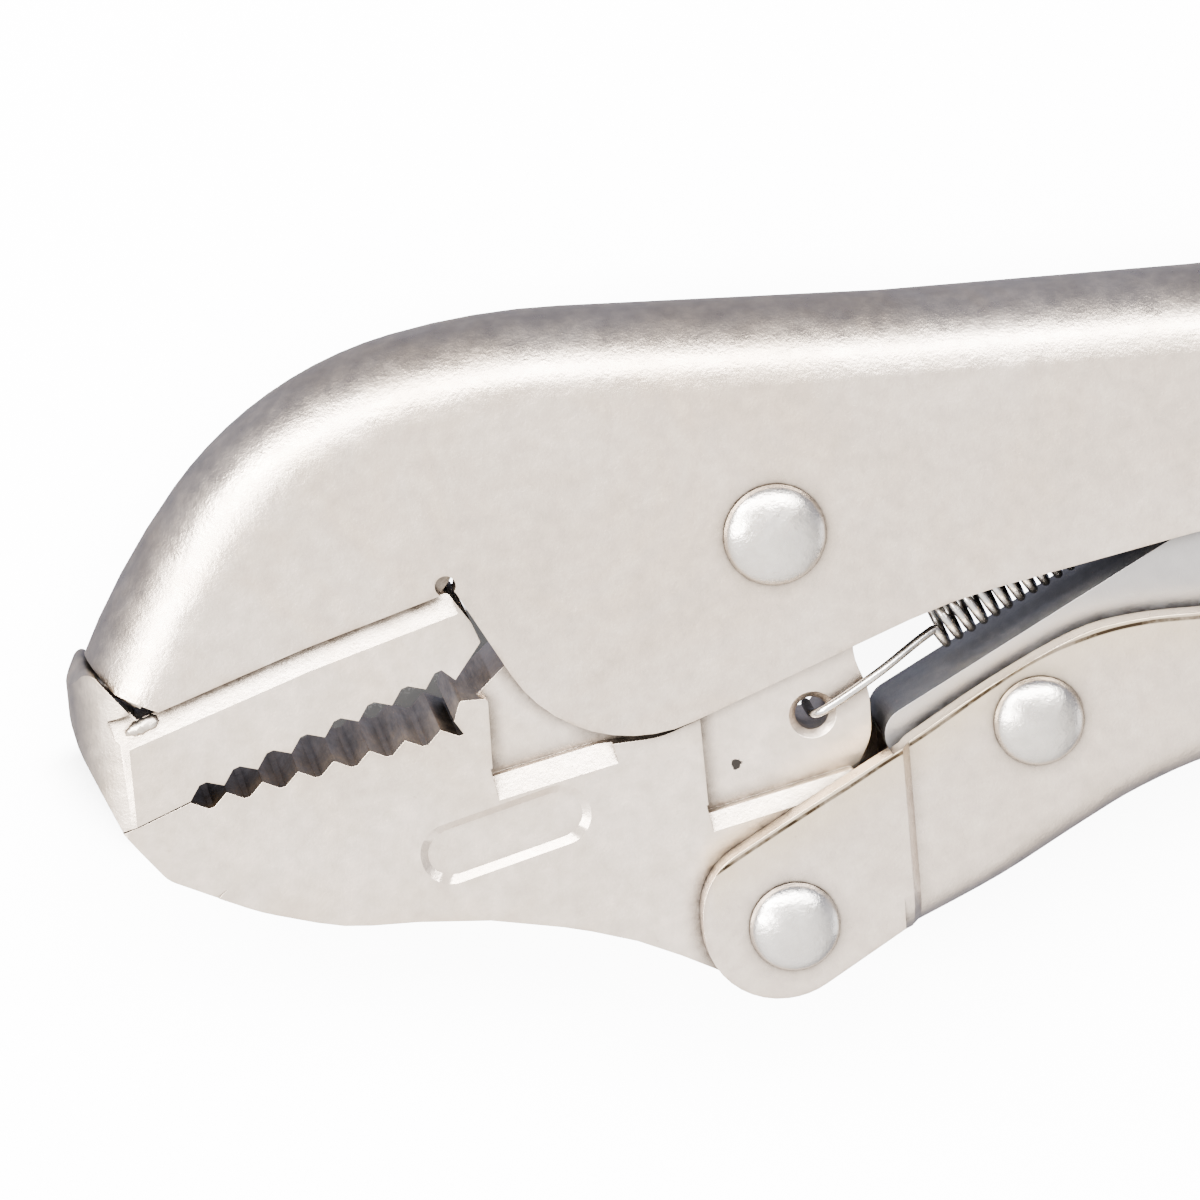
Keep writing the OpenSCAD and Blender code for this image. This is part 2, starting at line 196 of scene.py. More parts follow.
# Noise patterns: cells to the metre, detail, roughness and distortion
CLOUDS = (55, 5, 0.62, 0.5)
FILM = (24, 5, 0.7, 1.2)
MOTTLE = (650, 3, 0.65)
FLECKS = (1400, 2, 0.7)
FLECK_PATCHES = (160, 3, 0.6, 0.4)
TARNISH_BREAKS = (240, 4, 0.7)
CREVICE_SHADE_BREAKS = (700, 3, 0.6)
EAR_BREAKS = (260, 4, 0.7)
PIT_OUTLINE = (1500, 2)
GLOSS = (420, 4, 0.65)
PEEL = (900, 2, 0.5)
GRAIN = (3200, 3, 0.6)
# Cutting marks on the teeth: long across the tool, fine along the jaw
STREAKS = (1.0, 3, 0.7)
STREAK_SCALE = (900, 900, 120)
PEEL_DEPTH = 0.00006
GRAIN_DEPTH = 0.00004
# Colours laid over the base colour, and how far into or round the metal each one looks
# Painted shade with some grime: a dark brown laid into crevices and corners between parts
CREVICE_SHADE_AND_GRIME, CREVICE_SHADE_REACH = (0.04, 0.029, 0.021), 0.0018
TARNISH, TARNISH_REACH = (0.30, 0.20, 0.11), 0.0009
# Painted shade, near black, for deep hollows that the occlusion finds
HOLLOW_SHADE, HOLLOW_SHADE_REACH = (0.018, 0.016, 0.015), 0.012
# Painted shadow of the ear's seam with brown tarnish: a near black line
EDGE_SHADOW_AND_TARNISH = (0.03, 0.02, 0.012)
SCALE_TINT = (0.74, 0.60, 0.42)
# Raw steel of the teeth and cutter, with painted shade of the tooth gap: dark brown at the nose,
# grey further back
RAW_NOSE_WITH_SHADE = (0.15, 0.08, 0.022)
RAW_BACK_WITH_SHADE = (0.62, 0.50, 0.385)
# How much darker, for each channel, the plating is in its clouds and under its brown film
CLOUD_TONE = (0.86, 0.84, 0.80)
FILM_TONE = (0.84, 0.74, 0.60)
PIT_R = 0.0005
PIT_RAGGED = 0.00022
# The upper edge of the lower handle and its ear, from below the lower jaw's tail to the grip
EAR_EDGE = [(-9.4, -32.0), (-5.0, -29.6), (0.0, -27.0), (5.0, -24.5), (9.2, -22.3),
            (11.6, -21.2), (15.4, -19.1), (19.3, -16.9), (23.5, -14.8), (27.7, -13.4),
            (33.5, -12.4), (41.0, -12.5), (52.0, -13.0)]
# Heights between which EAR_EDGE is drawn as a curve
EAR_LOW, EAR_HIGH = -34.0, -10.0


def steel(name, base, stain, rough=0.34, grain=0.5, peel=0.5, spots=0.35, shade_and_dirt=0.95, wear=0.0,
          cut=None, ear=0.0, walls=1.0, pit=None, deep=(0.15, 0.6)):
    """Plated or bare steel of a base colour, with specks of the stain colour.

    grain, peel, spots, shade_and_dirt, wear and ear are strengths: of fine grain, orange peel,
    specks, painted shade with grime in corners, tarnish along edges, and the dark line on the ear,
    which is painted shadow of its seam with brown tarnish. cut is the place of the bare teeth,
    whose walls carry painted shade of the tooth gap, and pit that of a small pit, painted as a dark
    spot of shade. walls is the tone of the faces that look up and down, as the sides of the link
    do: a painted shade. deep is the occlusion at which the painted shade in hollows is darkest and
    clear.
    """
    n = Nodes(name)
    n.bsdf.inputs["Metallic"].default_value = 1.0
    colour = specks(n, plating(n, base), stain, spots)
    # Painted shade: the faces that look up and down, the link's flat sides, get a darker plain tone
    if walls != 1.0:
        side = n.span(n.facing_z(), 0.9, 0.98)
        colour = n.mix(side, colour, tuple(c * walls for c in base))
    if cut:
        colour = raw_teeth_with_shade(n, colour, *cut)
    if ear:
        colour = ear_shadow_and_tarnish(n, colour, ear)
    if pit:
        colour = small_pit(n, colour, pit)
    if wear:
        rim = n.span(n.occlusion(TARNISH_REACH, 4, inside=True), 0.35, 0.8, 1.0, 0.0)
        broken = n.span(n.noise(*TARNISH_BREAKS), 0.42, 0.62)
        colour = n.mix(n.product(rim, broken, wear), colour, TARNISH)
    # Painted shade in deep hollows, darkest where the occlusion is least
    if deep:
        hollow_shade = n.span(n.occlusion(HOLLOW_SHADE_REACH, 3), *deep, 0.92, 0.0)
        colour = n.mix(hollow_shade, colour, HOLLOW_SHADE)
    # Painted shade with some grime, dark where the occlusion finds a crevice or corner
    crevice = n.span(n.occlusion(CREVICE_SHADE_REACH, 5), 0.6, 0.94, 1.0, 0.0)
    uneven = n.span(n.noise(*CREVICE_SHADE_BREAKS), 0.3, 0.65, 0.7, 1.0)
    colour = n.mix(n.product(crevice, uneven, shade_and_dirt), colour, CREVICE_SHADE_AND_GRIME)
    n.link(colour, n.bsdf.inputs["Base Color"])
    gloss = n.span(n.noise(*GLOSS), 0.25, 0.75, rough - 0.07, rough + 0.09)
    n.link(gloss, n.bsdf.inputs["Roughness"])
    skin = n.bump(n.noise(*PEEL), peel, PEEL_DEPTH)
    skin = n.bump(n.noise(*GRAIN), grain, GRAIN_DEPTH, skin)
    n.link(skin, n.bsdf.inputs["Normal"])
    return n


def plating(n, base):
    """The base colour with soft clouds, a brown film in places, and a fine mottle."""
    cloud = n.span(n.noise(*CLOUDS), 0.32, 0.68)
    colour = n.mix(cloud, base, tuple(c * t for c, t in zip(base, CLOUD_TONE)))
    film = n.span(n.noise(*FILM), 0.52, 0.66, 0.0, 0.32)
    colour = n.mix(film, colour, tuple(c * t for c, t in zip(base, FILM_TONE)))
    return n.tinted(colour, n.span(n.noise(*MOTTLE), 0.3, 0.7, 0.90, 1.07))


def specks(n, colour, stain, amount):
    """Small stained specks, gathered in patches."""
    fleck = n.span(n.noise(*FLECKS), 0.66, 0.78)
    patch = n.span(n.noise(*FLECK_PATCHES), 0.52, 0.72)
    return n.mix(n.product(fleck, patch, amount), colour, stain)


# A small pit drawn only as colour: a ragged near black spot of painted shade
def small_pit(n, colour, place):
    far = n.add("ShaderNodeVectorMath", operation="DISTANCE")
    far.inputs[1].default_value = tuple(at(*place))
    n.link(n.where, far.inputs[0])
    ragged = n.span(n.noise(*PIT_OUTLINE), 0.3, 0.7, -PIT_RAGGED, PIT_RAGGED)
    distance = n.math("ADD", far.outputs["Value"], ragged)
    return n.mix(n.span(distance, PIT_R, PIT_R + 0.0001, 0.97, 0.0), colour, HOLLOW_SHADE)


def ear_shadow_and_tarnish(n, colour, amount):
    """A dark brown line just inside the sheared edge of the ear, painted shadow of the seam there
    with brown tarnish, and a faint yellow tint round it.
    """
    place = n.split(n.where)
    (first_x, _), (last_x, _) = EAR_EDGE[0], EAR_EDGE[-1]
    along_x = n.span(place["X"], at(first_x, 0).x, at(last_x, 0).x)
    curve = n.add("ShaderNodeFloatCurve")
    n.link(along_x, curve.inputs["Value"])
    points = curve.mapping.curves[0].points
    for i, (x, y) in enumerate(EAR_EDGE):
        u = (x - first_x) / (last_x - first_x)
        v = (y - EAR_LOW) / (EAR_HIGH - EAR_LOW)
        if i in (0, len(EAR_EDGE) - 1):
            points[0 if i == 0 else -1].location = (u, v)
        else:
            points.new(u, v)
    curve.mapping.update()
    edge_y = n.span(curve.outputs["Value"], 0.0, 1.0, at(0, EAR_LOW).y, at(0, EAR_HIGH).y)
    below = n.math("SUBTRACT", edge_y, place["Y"])
    inside = n.product(n.span(along_x, 0.0, 0.01), n.span(along_x, 0.99, 1.0, 1.0, 0.0))
    uneven = n.span(n.noise(*EAR_BREAKS), 0.3, 0.55, 0.55, 1.0)
    band = n.product(n.span(below, -0.0045, -0.0005), n.span(below, 0.0005, 0.005, 1.0, 0.0))
    colour = n.mix(n.product(band, uneven, inside, amount * 0.8), colour, SCALE_TINT)
    # Painted shadow of the seam along the ear's edge, with brown tarnish
    line = n.product(n.span(below, 0.00022, 0.00034), n.span(below, 0.0006, 0.00074, 1.0, 0.0),
                     n.span(n.facing_z(), 0.7, 0.9), inside)
    return n.mix(n.product(line, uneven, amount), colour, EDGE_SHADOW_AND_TARNISH)


def raw_teeth_with_shade(n, colour, middle, half, turn):
    """Bare steel on the walls of the teeth and cutter, in a box turned about its middle, with
    painted shade of the tooth gap laid into its colour.
    """
    wall = n.span(n.facing_z(), 0.4, 0.6, 1.0, 0.0)
    shift = n.add("ShaderNodeVectorMath", operation="SUBTRACT")
    shift.inputs[1].default_value = tuple(at(*middle))
    n.link(n.where, shift.inputs[0])
    local = n.split(n.mapping(turn=(0, 0, -math.radians(turn)), vector=shift.outputs["Vector"]))
    for axis, reach in zip("XY", half):
        off = n.math("ABSOLUTE", local[axis])
        wall = n.product(wall, n.span(off, (reach - 0.2) * MM, reach * MM, 1.0, 0.0))
    back = n.span(local["X"], -half[0] * MM, half[0] * 0.75 * MM)
    streak = n.noise(*STREAKS, vector=n.mapping(STREAK_SCALE))
    # Painted shade of the tooth gap together with the bare steel's own colour
    raw_with_shade = n.tinted(n.mix(back, RAW_NOSE_WITH_SHADE, RAW_BACK_WITH_SHADE), n.span(streak, 0.3, 0.7, 0.55, 1.25))
    return n.mix(wall, colour, raw_with_shade)


PALETTE = {
    "handle_plate": dict(base=(0.78, 0.665, 0.568), stain=(0.28, 0.2, 0.13), rough=0.31, peel=0.7,
                         grain=1.0, wear=0.75, ear=1.0),
    "jaw_steel": dict(base=(0.815, 0.70, 0.602), stain=(0.25, 0.19, 0.14), rough=0.36, grain=0.7,
                      wear=0.4, cut=((TEETH_X, -15.6), (16.5, 5.0), JAW_SLOPE), ear=0.55,
                      pit=(-5.2, -22.7, 5.0), deep=None),
    "weld_metal": dict(base=(0.70, 0.63, 0.56), stain=(0.14, 0.10, 0.07), peel=0.9, spots=0.8,
                       shade_and_dirt=0.75),
    "rivet_steel": dict(base=(0.73, 0.69, 0.65), stain=(0.2, 0.16, 0.12), rough=0.27, peel=0.9,
                        grain=0.8, spots=0.5, deep=None),
    "link_steel": dict(base=(0.45, 0.43, 0.42), stain=(0.16, 0.12, 0.09), rough=0.4, peel=0.4,
                       walls=0.9, deep=(0.02, 0.2)),
    "lever_steel": dict(base=(0.74, 0.68, 0.62), stain=(0.28, 0.2, 0.13), wear=0.5),
    "screw_steel": dict(base=(0.58, 0.56, 0.54), stain=(0.18, 0.14, 0.1), rough=0.3, peel=0.2),
    "knob_steel": dict(base=(0.70, 0.66, 0.62), stain=(0.2, 0.16, 0.12), rough=0.3, peel=0.3,
                       wear=0.3),
    "spring_steel": dict(base=(0.72, 0.70, 0.68), stain=(0.25, 0.2, 0.16), rough=0.24, peel=0.1,
                         deep=(0.05, 0.35)),
}
looks = {slot: steel(slot, **values).mat for slot, values in PALETTE.items()}
slot_of = {s["node"]: s["material_slot"] for s in frame["record"]["subparts"]}
body_of = {n: b for b, names in frame["record"]["behaviour"]["bodies"].items() for n in names}


# ---- Ways to make a piece ----

# Angles in degrees: edges above SMOOTH_BELOW stay sharp, CAD facets within FLAT_WITHIN are one
# face, and edges above BREAK_ABOVE are rounded
SMOOTH_BELOW = 32.0
FLAT_WITHIN = 0.4
BREAK_ABOVE = 28.0
# Points closer than this, in metres, are one point: in CAD meshes, and in new ones
CAD_MERGE = 2e-6
NEW_MERGE = 1e-7


def made(name, bm, node, angle=SMOOTH_BELOW):
    """A new piece that stands for a CAD node, with its body, slot and material."""
    mesh = bpy.data.meshes.new(name)
    bm.to_mesh(mesh)
    bm.free()
    obj = bpy.data.objects.new(name, mesh)
    bpy.context.scene.collection.objects.link(obj)
    mesh.materials.append(looks[slot_of[node]])
    for poly in mesh.polygons:
        poly.use_smooth = True
    mesh.set_sharp_from_angle(angle=math.radians(angle))
    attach(obj, body_of[node])
    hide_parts(node)
    return obj


def rounded_copy(node, name, width, shape=None):
    """A CAD node's own shape with its edges broken, as tumbled and plated steel has them."""
    bm = bmesh.new()
    bm.from_mesh(nodes[node].data)
    bmesh.ops.remove_doubles(bm, verts=bm.verts, dist=CAD_MERGE)
    bmesh.ops.dissolve_limit(bm, angle_limit=math.radians(FLAT_WITHIN), verts=bm.verts,
                             edges=bm.edges)
    if shape:
        shape(bm)
    obj = made(name, bm, node)
    bevel = obj.modifiers.new("edges", "BEVEL")
    bevel.limit_method = "ANGLE"
    bevel.angle_limit = math.radians(BREAK_ABOVE)
    bevel.width = width * MM
    bevel.segments = 3
    bevel.use_clamp_overlap = True
    normal = obj.modifiers.new("normals", "WEIGHTED_NORMAL")
    normal.keep_sharp = True
    normal.weight = 80
    return obj


def surface(rings, ends=True):
    """A bmesh over closed rings of points, with a face on the first and last if ends is true."""
    bm = bmesh.new()
    rows = [[bm.verts.new(p) for p in ring] for ring in rings]
    count = len(rows[0])
    for a, b in zip(rows, rows[1:]):
        for i in range(count):
            k = (i + 1) % count
            bm.faces.new((a[i], a[k], b[k], b[i]))
    if ends:
        bm.faces.new(rows[0])
        bm.faces.new(rows[-1])
    bmesh.ops.remove_doubles(bm, verts=bm.verts, dist=NEW_MERGE)
    bmesh.ops.recalc_face_normals(bm, faces=bm.faces)
    return bm


def lathe(profile, centre, axis, sides=96):
    """Rings of (distance, radius) pairs about an axis through centre."""
    u = Vector(axis).orthogonal().normalized()
    w = Vector(axis).cross(u)
    ring = [u * math.cos(t) + w * math.sin(t)
            for t in (2 * math.pi * k / sides for k in range(sides))]
    return surface([[at(*(Vector(centre) + Vector(axis) * d + e * r)) for e in ring]
                    for d, r in profile])


def screw_ring(x, radii):
    """A ring about the screw's axis, through one radius for each side."""
    turns = [2 * math.pi * k / len(radii) for k in range(len(radii))]
    return [at(x, SCREW_Y + r * math.cos(a), r * math.sin(a)) for a, r in zip(turns, radii)]


def tube(path, radius, sides, rough=None):
    """A wire or bead along a path, given in the drawing's millimetres. radius is a number, or
    a function of the way along, from 0 to 1."""
    pts = [Vector(p) for p in path]
    n = len(pts)
    tang = [(pts[min(i + 1, n - 1)] - pts[max(i - 1, 0)]).normalized() for i in range(n)]
    out = tang[0].orthogonal().normalized()
    rows = []
    for i, (p, t) in enumerate(zip(pts, tang)):
        out = (out - t * out.dot(t)).normalized()
        side = t.cross(out)
        r = radius(i / (n - 1)) if callable(radius) else radius
        row = []
        for k in range(sides):
            a = 2 * math.pi * k / sides
            d = out * math.cos(a) + side * math.sin(a)
            wobble = rough(p + d * r) if rough else 0.0
            row.append(at(*(p + d * (r + wobble))))
        rows.append(row)
    return surface(rows)


def smooth_path(points, step):
    """A smooth path through the points, about evenly spaced (a Catmull-Rom curve)."""
    pts = [Vector(p) for p in points]
    out = []
    for i in range(len(pts) - 1):
        a, b, c, d = (pts[max(i - 1, 0)], pts[i], pts[i + 1], pts[min(i + 2, len(pts) - 1)])
        count = max(1, int((c - b).length / step))
        for k in range(count):
            t = k / count
            out.append(b + 0.5 * t * ((c - a) + t * (2 * a - 5 * b + 4 * c - d
                                                     + t * (3 * b - a - 3 * c + d))))
    return out + [pts[-1]]


# ---- Pressed and forged pieces ----

PLAQUE = (-27.9, -26.3)
PLAQUE_TURN = 13
PLAQUE_HALF = (8.4, 3.0)
PLAQUE_FLOOR = 6.35
PLAQUE_DRAFT = 0.75


def sloped_plaque(bm):
    """Draws in the floor of the blank oval recess, so that its walls slope as forged ones do."""
    middle, turn = at(*PLAQUE), math.radians(PLAQUE_TURN)
    along_x = Vector((math.cos(turn), math.sin(turn), 0))
    along_y = Vector((-math.sin(turn), math.cos(turn), 0))
    half_x, half_y = PLAQUE_HALF
    for v in bm.verts:
        off = v.co - middle
        x, y = off.dot(along_x) / MM, off.dot(along_y) / MM
        deep = abs(abs(v.co.z / MM - SHIFT.z) - PLAQUE_FLOOR) < 0.02
        if deep and abs(x) < half_x + 0.2 and abs(y) < half_y + 0.2:
            v.co -= (along_x * x * PLAQUE_DRAFT / half_x + along_y * y * PLAQUE_DRAFT / half_y) * MM


# Node, piece, and the width of its broken edges
for node, name, width in (("fixed_handle", "handle_shell", 0.4), ("fixed_jaw", "upper_jaw", 0.16),
                          ("lower_jaw", "lower_jaw_forging", 0.16),
                          ("lower_handle", "grip_channel", 0.4),
                          ("toggle_link", "link_pressing", 0.3),
                          ("release_lever", "lever_pressing", 0.4)):
    rounded_copy(node, name, width, shape=sloped_plaque if node == "lower_jaw" else None)


# ---- Rivets ----

RIM_HEIGHT = 0.52
RIM_INSET = 0.12
CAP_RINGS = 21
# How far the shank runs into each head
SHANK_INTO_HEAD = 0.1


def head_profile(radius, height, foot):
    """A domed head standing on foot: a thin rounded rim with a slight undercut, then a cap."""
    rim = [(foot - 0.1, radius * 0.7), (foot - 0.1, radius - 0.5), (foot + 0.1, radius - 0.45),
           (foot + 0.13, radius - 0.08), (foot + 0.25, radius), (foot + 0.4, radius - 0.03),
           (foot + RIM_HEIGHT, radius - RIM_INSET)]
    cap = []
    for k in range(1, CAP_RINGS + 1):
        t = math.pi / 2 * k / CAP_RINGS
        r = (radius - RIM_INSET) * math.cos(t)
        rise = (height - RIM_HEIGHT) * math.sin(t) ** 1.25
        cap.append((foot + RIM_HEIGHT + rise, max(r, TINY)))
    return rim + cap


def rivet(name, node, where, shank, head, height, grip):
    """A rivet through the whole tool: the diameters of its shank and head, the height of the
    head, and the width that it holds."""
    half = head_profile(head / 2, height, grip / 2)
    end = grip / 2 + SHANK_INTO_HEAD
    profile = ([(-d, r) for d, r in reversed(half)] + [(-end, shank / 2), (end, shank / 2)]
               + half)
    return made(name, lathe(profile, (*where, 0), (0, 0, 1)), node, 40)


rivet("jaw_rivet", "jaw_pivot_rivet", JAW_PIVOT, 6.3, 9.8, 2.1, CHANNEL_W)
rivet("ear_rivet", "handle_pivot_rivet", HANDLE_PIVOT, 6.3, 8.7, 2.1, EAR_W)
rivet("link_pin", "link_rivet", LINK_PIVOT, 6.3, 8.7, 2.1, GRIP_W)
rivet("lever_pin", "lever_rivet", LEVER_PIVOT, 4.5, 7.0, 1.4, GRIP_W)


# ---- Spring ----

COIL_START, COIL_END = Vector((15.2, -12.5, 0)), Vector((51.5, 5.1, 0))
COIL_TURNS = 29
COIL_STEPS = 26
COIL_OUTER = 6.0
WIRE = 0.9
PATH_STEP = 0.4
# From the hook in the lower jaw's eye to the coil, and from the coil to the hook in the tab
LEAD = [(2.5, -18.8, 0.6), (2.48, -18.82, 3.2), (2.6, -18.7, 4.9), (3.5, -18.2, 5.85),
        (6.2, -16.8, 5.9), (9.6, -15.0, 5.4), (13.2, -13.3, 3.6)]
TAIL = [(53.2, 6.6, 1.6), (55.0, 8.0, 0.3), (56.6, 8.3, 0), (59.6, 8.3, 0), (60.5, 9.0, 0),
        (60.7, 10.2, 0), (60.5, 10.85, 0)]


def spring():
    r = (COIL_OUTER - WIRE) / 2
    axis = (COIL_END - COIL_START).normalized()
    side = Vector((-axis.y, axis.x, 0))
    coil = []
    steps = COIL_TURNS * COIL_STEPS
    for i in range(steps + 1):
        t = i / steps
        a = math.radians(90 + 360 * COIL_TURNS * t)
        coil.append(COIL_START + (COIL_END - COIL_START) * t + side * (r * math.cos(a))
                    + Vector((0, 0, r * math.sin(a))))
    lead = smooth_path(LEAD + [coil[0]], PATH_STEP)[:-1]
    tail = smooth_path([coil[-1]] + TAIL, PATH_STEP)[1:]
    piece = made("spring_wire", tube(lead + coil + tail, WIRE / 2, 12), "return_spring", 60)
    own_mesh(piece)


spring()


# ---- Screw and knob ----

THREAD_DEPTH = 0.86
THREAD_FLAT = 0.125
THREAD_STEPS = 12
THREAD_SIDES = 40
TIP_CHAMFER = 1.2
# (distance into the knob, radius) pairs of the stub
STUB = [(0.0, 3.0), (11.6, 3.0), (12.0, 2.6)]


def threaded_screw():
    """The shank with its 60 degree thread, the chamfered tip, and the stub in the knob."""
    rows = []
    n = int((KNOB_X - SCREW_TIP_X) / PITCH * THREAD_STEPS)
    for i in range(n + 1):
        x = SCREW_TIP_X + (KNOB_X - SCREW_TIP_X) * i / n
        limit = SCREW_R - TIP_CHAMFER + (x - SCREW_TIP_X)
        radii = []
        for k in range(THREAD_SIDES):
            f = ((x - SCREW_TIP_X) / PITCH - k / THREAD_SIDES) % 1.0
            v = min(1.0, max(0.0, (abs(2 * f - 1) - THREAD_FLAT) / (1 - 2 * THREAD_FLAT)))
            radii.append(min(SCREW_R - THREAD_DEPTH * v, limit))
        rows.append(screw_ring(x, radii))
    rows += [screw_ring(KNOB_X + d, [r] * THREAD_SIDES) for d, r in STUB]
    return made("threaded_shank", surface(rows), "adjusting_screw", 50)


threaded_screw()

KNURL_AROUND = 36
KNURL_DEPTH = 0.5
KNURL_FADE = 0.5
# The diamonds' tops lie this far below the bands at the ends, and a larger KNURL_STEEP makes
# the grooves between them narrower
KNURL_BELOW = 0.12
KNURL_STEEP = 1.7
KNURL_STEP = 0.2
KNOB_SIDES = 216
KNOB_LAND = 1.9
# (distance, radius) pairs: the bore for the stub, the front end with its groove, which the back
# end repeats, and the dish in the back end
KNOB_BORE = [(12.3, TINY), (12.3, 3.1), (0.0, 3.1)]
KNOB_END = [(0.0, 3.3), (0.0, 6.3), (0.25, 6.9), (0.9, 7.5), (1.2, KNOB_R), (1.5, KNOB_R),
            (1.7, KNOB_R - 0.45), (KNOB_LAND, KNOB_R - 0.45)]
KNOB_DISH = [(KNOB_L, 3.4), (KNOB_L - 0.2, 3.05), (KNOB_L - 0.7, 2.9), (KNOB_L - 0.8, 2.6),
             (KNOB_L - 0.8, TINY)]


def knurled_knob():
    """A turned knob with a diamond knurl between two plain lands, and a dished end."""
    cell = 2 * math.pi * KNOB_R / KNURL_AROUND
    fine = int((KNOB_L - 2 * KNOB_LAND) / KNURL_STEP)

    def knurled(d, turn):
        u, v = KNURL_AROUND * turn + d / cell, KNURL_AROUND * turn - d / cell
        off = min(abs(2 * (u % 1.0) - 1), abs(2 * (v % 1.0) - 1))
        fade = min(1.0, min(d - KNOB_LAND, KNOB_L - KNOB_LAND - d) / KNURL_FADE)
        groove = 1 - min(1.0, off * KNURL_STEEP)
        return KNOB_R - KNURL_BELOW - KNURL_DEPTH * groove * fade

    def plain(profile):
        return [screw_ring(KNOB_X + d, [r] * KNOB_SIDES) for d, r in profile]

    front = plain(KNOB_BORE + KNOB_END)
    grip = []
    for i in range(fine + 1):
        d = KNOB_LAND + (KNOB_L - 2 * KNOB_LAND) * i / fine
        radii = [knurled(d, k / KNOB_SIDES) for k in range(KNOB_SIDES)]
        grip.append(screw_ring(KNOB_X + d, radii))
    back = plain([(KNOB_L - d, r) for d, r in reversed(KNOB_END[1:-1])] + KNOB_DISH)
    return made("knurled_knob", surface(front + grip + back, ends=False), "screw_knob", 24)


knurled_knob()


# ---- Weld ----

# The bead lies round the front edge of the channel, which leans back from its top. The blobs
# lie where the seam starts, on both faces.
BEAD_TOP, BEAD_LEAN = Vector((-65.9, -6.75, 0)), Vector((0.9, -0.435, 0))
BEAD_R = 6.75
BEAD_DROP = 7.3
BEAD_SWEEP = 152
BEAD_STEPS = 60
BLOB_STEP = 0.12
BLOB = [(-62.6, -12.3, 5.65), (-61.6, -11.85, 5.85), (-60.4, -11.4, 5.9), (-59.5, -11.1, 5.85)]


def lumpy(p):
    """How far the weld stands in or out at a point, in two sizes of lump."""
    return 0.2 * noise.noise(p * 1.3) + 0.16 * noise.noise(p * 3.1)


def bead_radius(t):
    return 0.5 + 0.08 * math.sin(9 * t)


def blob_radius(t):
    """Blunt at both ends."""
    return 0.1 + 0.7 * math.sin(math.pi * (0.04 + 0.92 * t)) ** 0.25


def weld():
    """A rough bead round the front end of the channel, and a blob where the seam starts."""
    bead = []
    for k in range(BEAD_STEPS + 1):
        a = math.radians(-BEAD_SWEEP / 2 + BEAD_SWEEP * k / BEAD_STEPS)
        bead.append(BEAD_TOP + BEAD_LEAN * (BEAD_DROP - BEAD_R * math.cos(a))
                    + Vector((0, 0, BEAD_R * math.sin(a))))
    bm = tube(bead, bead_radius, 12, lumpy)
    for face in (-1, 1):
        path = smooth_path([(x, y, z * face) for x, y, z in BLOB], BLOB_STEP)
        blob = tube(path, blob_radius, 16, lumpy)
        mesh = bpy.data.meshes.new("blob")
        blob.to_mesh(mesh)
        blob.free()
        bm.from_mesh(mesh)
        bpy.data.meshes.remove(mesh)
    return made("nose_weld", bm, "jaw_weld_beads", 60)


weld()


# ---- Stage ----

FLOOR_GLOW = 9.0
FLOOR_TONE = (0.86, 0.86, 0.865)
FLOOR_SHADE = (0.10, 0.092, 0.086)
FLOOR_SIZE = 4.0
# The floor lies a hair below the tool, and is painted dark as a shadow within this far of the
# jaws' middle line, as far back as their throat, wherever the jaws are closer than SHADE_REACH
FLOOR_Z = -0.0002
SHADE_HALF = (0.005, 0.007)
SHADE_BACK = (-26, -23)
SHADE_REACH = 0.014
JAWS_MIDDLE_Y = -18.2


def studio_floor():
    bm = bmesh.new()
    bmesh.ops.create_grid(bm, x_segments=8, y_segments=8, size=FLOOR_SIZE)
    mesh = bpy.data.meshes.new("floor")
    bm.to_mesh(mesh)
    bm.free()
    floor = bpy.data.objects.new("floor", mesh)
    floor.location = (0, 0, FLOOR_Z)
    bpy.context.scene.collection.objects.link(floor)
    n = Nodes("floor")
    n.bsdf.inputs["Roughness"].default_value = 0.9
    n.bsdf.inputs["Emission Color"].default_value = (1, 1, 1, 1)
    # Painted shadow: the glowing floor is dark under the closed jaws, where it shows between the
    # teeth
    place = n.split(n.where)
    slope = math.tan(math.radians(JAW_SLOPE))
    line = n.math("SUBTRACT", place["Y"], n.product(place["X"], slope))
    middle = at(TEETH_X, JAWS_MIDDLE_Y)
    off = n.math("ABSOLUTE", n.math("SUBTRACT", line, middle.y - middle.x * slope))
    throat = [at(x, 0).x for x in SHADE_BACK]
    jaws = n.product(n.span(off, *SHADE_HALF, 1.0, 0.0), n.span(place["X"], *throat, 1.0, 0.0))
    dark = n.product(n.span(n.occlusion(SHADE_REACH, 8), 0.56, 0.76, 0.985, 0.0), jaws)
    n.link(n.mix(dark, FLOOR_TONE, FLOOR_SHADE), n.bsdf.inputs["Base Color"])
    n.link(n.math("SUBTRACT", FLOOR_GLOW, n.product(dark, FLOOR_GLOW)),
           n.bsdf.inputs["Emission Strength"])
    mesh.materials.append(n.mat)
    floor.visible_glossy = False


def area_light(name, where, size, power):
    """A rectangular light that points at the origin."""
    data = bpy.data.lights.new(name, "AREA")
    data.shape = "RECTANGLE"
    data.size, data.size_y = size
    data.energy = power
    obj = bpy.data.objects.new(name, data)
    obj.location = where
    obj.rotation_mode = "QUATERNION"
    obj.rotation_quaternion = (-Vector(where)).to_track_quat("-Z", "Y")
    bpy.context.scene.collection.objects.link(obj)


# Tone of the studio round the tool, from the dark side behind its back (0) to the bright
# side (1), which is overhead and towards the lower handle. A ramp starts with its two ends.
SKY_AXIS = (-0.25, -0.55, 0.8)
SKY = [(0.0, (0.10, 0.108, 0.14)), (1.0, (0.88, 0.87, 0.86)), (0.33, (0.106, 0.114, 0.145)),
       (0.58, (0.175, 0.18, 0.205)), (0.73, (0.42, 0.415, 0.41)), (0.85, (0.74, 0.73, 0.72))]
SKY_STRENGTH = 3.35


